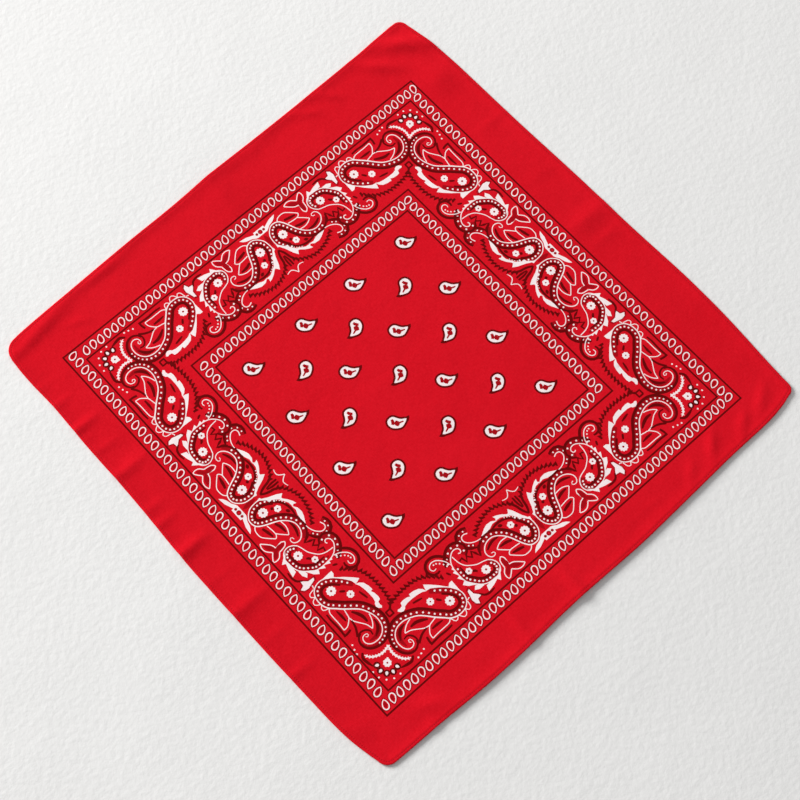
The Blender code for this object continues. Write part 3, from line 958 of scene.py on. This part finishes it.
class Wire:
    """A socket of a node tree. Arithmetic on it adds the Math nodes that work it out."""

    def __init__(self, tree, socket=None):
        self.tree = tree
        self.socket = socket

    def node(self, kind, settings=None, inputs=None, output=0):
        """Adds a node, with its settings, then the values or wires of its inputs, and returns an output."""
        made = self.tree.nodes.new(kind)
        for name, value in (settings or {}).items():
            setattr(made, name, value)
        for name, value in (inputs or {}).items():
            if isinstance(value, Wire):
                self.tree.links.new(value.socket, made.inputs[name])
            else:
                made.inputs[name].default_value = value
        return Wire(self.tree, made.outputs[output])

    def other(self, output):
        return Wire(self.tree, self.socket.node.outputs[output])

    def math(self, operation, first, second=0.0):
        return self.node("ShaderNodeMath", {"operation": operation}, {0: first, 1: second})

    def __add__(self, value):
        return self.math("ADD", self, value)

    def __sub__(self, value):
        return self.math("SUBTRACT", self, value)

    def __rsub__(self, value):
        return self.math("SUBTRACT", value, self)

    def __mul__(self, value):
        return self.math("MULTIPLY", self, value)

    def __truediv__(self, value):
        return self.math("DIVIDE", self, value)

    __radd__ = __add__
    __rmul__ = __mul__

    def sine(self):
        return self.math("SINE", self)

    def size(self):
        return self.math("ABSOLUTE", self)

    def power_of_e(self):
        return self.math("EXPONENT", self)

    def scaled(self, x, y, z=1.0):
        return self.node("ShaderNodeVectorMath", {"operation": "MULTIPLY"}, {0: self, 1: (x, y, z)})

    def noise(self, scale=1.0, detail=2.0):
        return self.node("ShaderNodeTexNoise", inputs={"Vector": self, "Scale": scale, "Detail": detail})

    def blend(self, factor, first, second):
        """Mixes two colours."""
        return self.node("ShaderNodeMix", {"data_type": "RGBA"}, {0: factor, 6: first, 7: second}, 2)


def new_finish(name):
    """A new material, and the wire that holds the place on the object."""
    material = bpy.data.materials.new(name)
    material.use_nodes = True
    return material, Wire(material.node_tree).node("ShaderNodeTexCoord", output="Object")


def finish_with(material, colour, height, depth, values, strength=1.0):
    """Gives a material its colour, its bumps as deep as this, and the values of its shader's sockets."""
    shader = material.node_tree.nodes["Principled BSDF"]
    bump = height.node("ShaderNodeBump", inputs={"Height": height, "Distance": depth, "Strength": strength})
    material.node_tree.links.new(colour.socket, shader.inputs["Base Color"])
    material.node_tree.links.new(bump.socket, shader.inputs["Normal"])
    for name, value in values.items():
        shader.inputs[name].default_value = value


def cotton(name, printed):
    """The red cotton, with the print's inks where it is printed."""
    material, place = new_finish(name)
    part = place.node("ShaderNodeSeparateXYZ", inputs={0: place})
    # the weave, its yarns that run both ways, their thick stretches, and broad clouds of lighter and darker
    # red
    turn = math.pi / (YARN * MM)
    weave = ((part * turn).sine() * (part.other("Y") * turn).sine()).size()
    yarns = place.scaled(55, 1800).noise() + place.scaled(1800, 55).noise()
    cloudy = place.noise(scale=14.0)
    slubs = place.scaled(300, 900).noise() + place.scaled(900, 300).noise()
    colour = place.blend(slubs * 1.5 + yarns * 0.5 + cloudy * 0.5 - 1.75, DEEP_RED, DYED_RED)
    rumple = place.noise(scale=26.0) * 1.1 + place.noise(scale=70.0) * 0.3
    height = weave * 0.05 + yarns * 0.03 + rumple
    if printed:
        ink = place.node("ShaderNodeVertexColor", {"layer_name": "ink"})
        above = ink.other("Alpha")
        amount = ink.node("ShaderNodeSeparateColor", inputs={0: ink})
        strength = above * (1 - GHOST) + GHOST
        colour = ink.blend(amount.other("Blue") * strength, colour, SHADE_RED)
        colour = ink.blend(amount.other("Green") * strength, colour, DARK_INK)
        colour = ink.blend(amount * strength * (weave * 0.08 + 0.92), colour, WHITE_INK)
        on_hem = ink.node("ShaderNodeUVMap", {"uv_map": "hem"})
        on_hem = ink.node("ShaderNodeSeparateXYZ", inputs={0: on_hem})
        slack = (on_hem * (STITCHES * math.pi / (seam_run[-1] * MM))).sine().size()
        off = (on_hem.other("Y") - STITCH_INSET * MM) / (STITCH_PULL_WIDTH * MM)
        height = height - (off * off * -1).power_of_e() * (1 - slack) * STITCH_PULL
    finish_with(material, colour, height, MM, {
        "Roughness": 0.9, "Specular IOR Level": 0.06,
        "Sheen Weight": 0.03, "Sheen Roughness": 0.5, "Sheen Tint": (1.0, 0.35, 0.35, 1),
    })
    return material


def add_object(name, data):
    """Puts a new object in the scene, with this mesh, lamp or camera as its data."""
    made = bpy.data.objects.new(name, data)
    bpy.context.scene.collection.objects.link(made)
    return made


mesh.materials.append(cotton("printed_cotton", printed=True))
panel = add_object("panel_cloth", mesh)
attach(panel, "root")
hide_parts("panel")

# ================================================================ the hems
# The panel's own edge, turned under twice and pressed flat: a narrow band of three layers under each side,
# with the dyed face of the cloth outwards. The bands meet in the middle of each corner.

HEM_SECTION = (
    # inset, height above the lie: a flat band with pressed folds at both edges
    (0.95, 0.22), (1.1, 0.13), (2.6, 0.1), (4.2, 0.13), (4.5, 0.32), (4.5, 0.68), (4.25, 0.86),
    (1.15, 0.86), (0.95, 0.74),
)
HEM_END_GAP = 0.15

hem_finish = cotton("hem_cotton", printed=False)
for number, side in enumerate(BOWS):
    count = SIDE_STEPS + CORNER_STEPS
    numbers = (number * count - CORNER_STEPS // 2 + np.arange(count + 1)) % len(seam)
    lines = []
    for inset, height in HEM_SECTION:
        line = ring(inset)[numbers]
        line[0] += (line[1] - line[0]) / np.linalg.norm(line[1] - line[0]) * HEM_END_GAP
        line[-1] += (line[-2] - line[-1]) / np.linalg.norm(line[-2] - line[-1]) * HEM_END_GAP
        z = lie(line) + height + ripple(inset)[numbers] * 0.5
        lines.append(np.column_stack((line, z)))
    points = np.vstack(lines) * MM
    section = len(HEM_SECTION)
    faces = []
    for k in range(section):
        one, two = k * (count + 1), (k + 1) % section * (count + 1)
        faces += [(one + i, two + i, two + i + 1, one + i + 1) for i in range(count)]
    first_end = [k * (count + 1) for k in range(section)]
    last_end = [k * (count + 1) + count for k in range(section)]
    faces += [first_end[::-1], last_end]
    mesh = bpy.data.meshes.new(f"hem_{side}_cloth")
    mesh.from_pydata(points.tolist(), [], faces)
    mesh.shade_smooth()
    mesh.materials.append(hem_finish)
    hem = add_object(f"hem_{side}_cloth", mesh)
    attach(hem, "root")
    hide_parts(f"hem_{side}")

# ================================================================ the stitches
# One lockstitched seam holds the hems: a short stitch of red thread, then a hole, all round the square,
# with the same on the underside, half a stitch further on.

STITCH_SIZE = (1.75, 0.5, 0.34)
STITCH_TURN = 0.05
# The thread's red, then the darker red that is painted shade in the grooves of its twist.
THREAD_RED = (0.42, 0.0030, 0.0100, 1)
THREAD_GROOVE_SHADE = (0.25, 0.0015, 0.0060, 1)
STITCH_ABOVE = 1.22
STITCH_BELOW = 0.15
STITCH_SEED = 7

# The thread's colour follows the stripes of its twist, which also make its bumps: its grooves are painted
# darker, as painted shade, over a random mottle of its red.
thread, place = new_finish("thread")
part = place.node("ShaderNodeSeparateXYZ", inputs={0: place})
twist = ((part + part.other("Y")) * (2 * math.pi / (0.35 * MM))).sine() * 0.5 + 0.5
colour = place.blend(twist * 0.6 + place.noise(scale=900.0) * 0.4, THREAD_GROOVE_SHADE, THREAD_RED)
finish_with(thread, colour, twist, 0.04 * MM, {"Roughness": 0.75, "Specular IOR Level": 0.2})

tree = bpy.data.node_groups.new("stitched_seam", "GeometryNodeTree")
for name, kind, way in (
    ("Seam", "NodeSocketGeometry", "INPUT"), ("Stitches", "NodeSocketInt", "INPUT"),
    ("Stitch size", "NodeSocketVector", "INPUT"), ("Uneven turn", "NodeSocketFloat", "INPUT"),
    ("Seed", "NodeSocketInt", "INPUT"), ("Thread", "NodeSocketGeometry", "OUTPUT"),
):
    tree.interface.new_socket(name, in_out=way, socket_type=kind)
given = Wire(tree).node("NodeGroupInput", output="Seam")
line = given.node("GeometryNodeMeshToCurve", inputs={"Mesh": given})
line = line.node(
    "GeometryNodeResampleCurve", {"mode": "COUNT"}, {"Curve": line, "Count": given.other("Stitches")}
)
ball = line.node("GeometryNodeMeshUVSphere", inputs={"Segments": 6, "Rings": 4, "Radius": 0.5})
stitch = ball.node("GeometryNodeTransform", inputs={"Geometry": ball, "Scale": given.other("Stitch size")})
ahead = line.node("GeometryNodeInputTangent")
facing = line.node("FunctionNodeAlignRotationToVector", {"axis": "X"}, {"Vector": ahead})
swing = line.node(
    "FunctionNodeRandomValue", {"data_type": "FLOAT"}, {2: -1.0, 3: 1.0, "Seed": given.other("Seed")}, 1
)
swing = swing * given.other("Uneven turn")
wobble = line.node("ShaderNodeCombineXYZ", inputs={"Z": swing})
facing = line.node(
    "FunctionNodeRotateRotation", {"rotation_space": "LOCAL"}, {"Rotation": facing, "Rotate By": wobble}
)
rows = line.node(
    "GeometryNodeInstanceOnPoints", inputs={"Points": line, "Instance": stitch, "Rotation": facing}
)
rows = rows.node("GeometryNodeRealizeInstances", inputs={"Geometry": rows})
rows = rows.node("GeometryNodeSetShadeSmooth", inputs={"Geometry": rows})
rows = rows.node("GeometryNodeSetMaterial", inputs={"Geometry": rows, "Material": thread})
tree.links.new(rows.socket, tree.nodes.new("NodeGroupOutput").inputs["Thread"])


def along_seam(shift, height):
    """The seam's line, started this far along it and put at this height above the cloth's lie."""
    run = (seam_run[:-1] + shift) % seam_run[-1]
    closed = np.vstack((seam, seam[:1]))
    line = np.column_stack([np.interp(run, seam_run, closed[:, axis]) for axis in (0, 1)])
    return np.column_stack((line, lie(line) + height))


lines = [along_seam(0.0, STITCH_ABOVE), along_seam(STITCH_PITCH / 2, STITCH_BELOW)]
edges = []
for start in (0, len(seam)):
    numbers = np.arange(len(seam))
    edges += np.column_stack((start + numbers, start + np.roll(numbers, -1))).tolist()
mesh = bpy.data.meshes.new("seam_line")
mesh.from_pydata((np.vstack(lines) * MM).tolist(), edges, [])
path = add_object("seam_line", mesh)
sewing = path.modifiers.new("sewing", "NODES")
sewing.node_group = tree
inputs = {item.name: item.identifier for item in tree.interface.items_tree if item.in_out == "INPUT"}
sewing[inputs["Stitches"]] = STITCHES
sewing[inputs["Stitch size"]] = [size * MM for size in STITCH_SIZE]
sewing[inputs["Uneven turn"]] = STITCH_TURN
sewing[inputs["Seed"]] = STITCH_SEED
bpy.context.view_layer.update()
sewn = bpy.data.meshes.new_from_object(path.evaluated_get(bpy.context.evaluated_depsgraph_get()))
sewn.name = "seam_stitches"
bpy.data.objects.remove(path)
stitches = add_object("seam_stitches", sewn)
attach(stitches, "root")

# ================================================================ the floor, the light and the camera
# A plain pale floor with a very fine roughness, a large soft lamp high on one side, and an even pale sky.

FLOOR_PALE = (0.765, 0.755, 0.74, 1)
FLOOR_SHADE = (0.725, 0.715, 0.70, 1)
FLOOR_REACH = 4.0

floor_finish, place = new_finish("floor")
mottle = place.noise(scale=6.0, detail=4.0)
colour = place.blend(mottle, FLOOR_SHADE, FLOOR_PALE)
grain = place.noise(scale=160.0, detail=5.0) * 0.5 + mottle * 2.0
values = {"Roughness": 0.9, "Specular IOR Level": 0.2}
finish_with(floor_finish, colour, grain, 1.5 * MM, values, strength=0.7)
mesh = bpy.data.meshes.new("floor")
corners = [(x * FLOOR_REACH, y * FLOOR_REACH, 0.0) for x, y in ((-1, -1), (1, -1), (1, 1), (-1, 1))]
mesh.from_pydata(corners, [], [(0, 1, 2, 3)])
mesh.materials.append(floor_finish)
floor = add_object("floor", mesh)

LAMP_FROM = (-0.97, -0.30, 0.50)
LAMP_DISTANCE = 6.5
LAMP_WIDTH = 3.2
LAMP_POWER = 655.0
SKY = (0.97, 0.985, 1.0, 1)
SKY_STRENGTH = 0.45

lamp = bpy.data.lights.new("soft_lamp", "AREA")
lamp.shape = "DISK"
lamp.size = LAMP_WIDTH
lamp.energy = LAMP_POWER
lamp_object = add_object("soft_lamp", lamp)
lamp_object.location = Vector(LAMP_FROM).normalized() * LAMP_DISTANCE
lamp_object.rotation_euler = Vector(LAMP_FROM).to_track_quat("Z", "Y").to_euler()

world = bpy.data.worlds.new("pale_sky")
world.use_nodes = True
sky = world.node_tree.nodes["Background"]
sky.inputs["Color"].default_value = SKY
sky.inputs["Strength"].default_value = SKY_STRENGTH
bpy.context.scene.world = world
bpy.context.scene.view_settings.view_transform = "Standard"

# The camera looks down on the cloth from beyond its right bottom corner, with that corner nearest.
CAMERA_PLACE = (0.4355, -0.5301, 1.7012)
CAMERA_RIGHT = (0.6780, 0.7329, 0.0560)
CAMERA_UP = (-0.7000, 0.6206, 0.3535)
CAMERA_LENS = 85.5
CAMERA_SENSOR = 36.0

right = Vector(CAMERA_RIGHT).normalized()
back = right.cross(Vector(CAMERA_UP)).normalized()
turned = Matrix((right, back.cross(right), back)).transposed().to_4x4()
camera = bpy.data.cameras.new("camera")
camera.lens = CAMERA_LENS
camera.sensor_width = CAMERA_SENSOR
camera_object = add_object("camera", camera)
camera_object.matrix_world = Matrix.Translation(CAMERA_PLACE) @ turned
bpy.context.scene.camera = camera_object
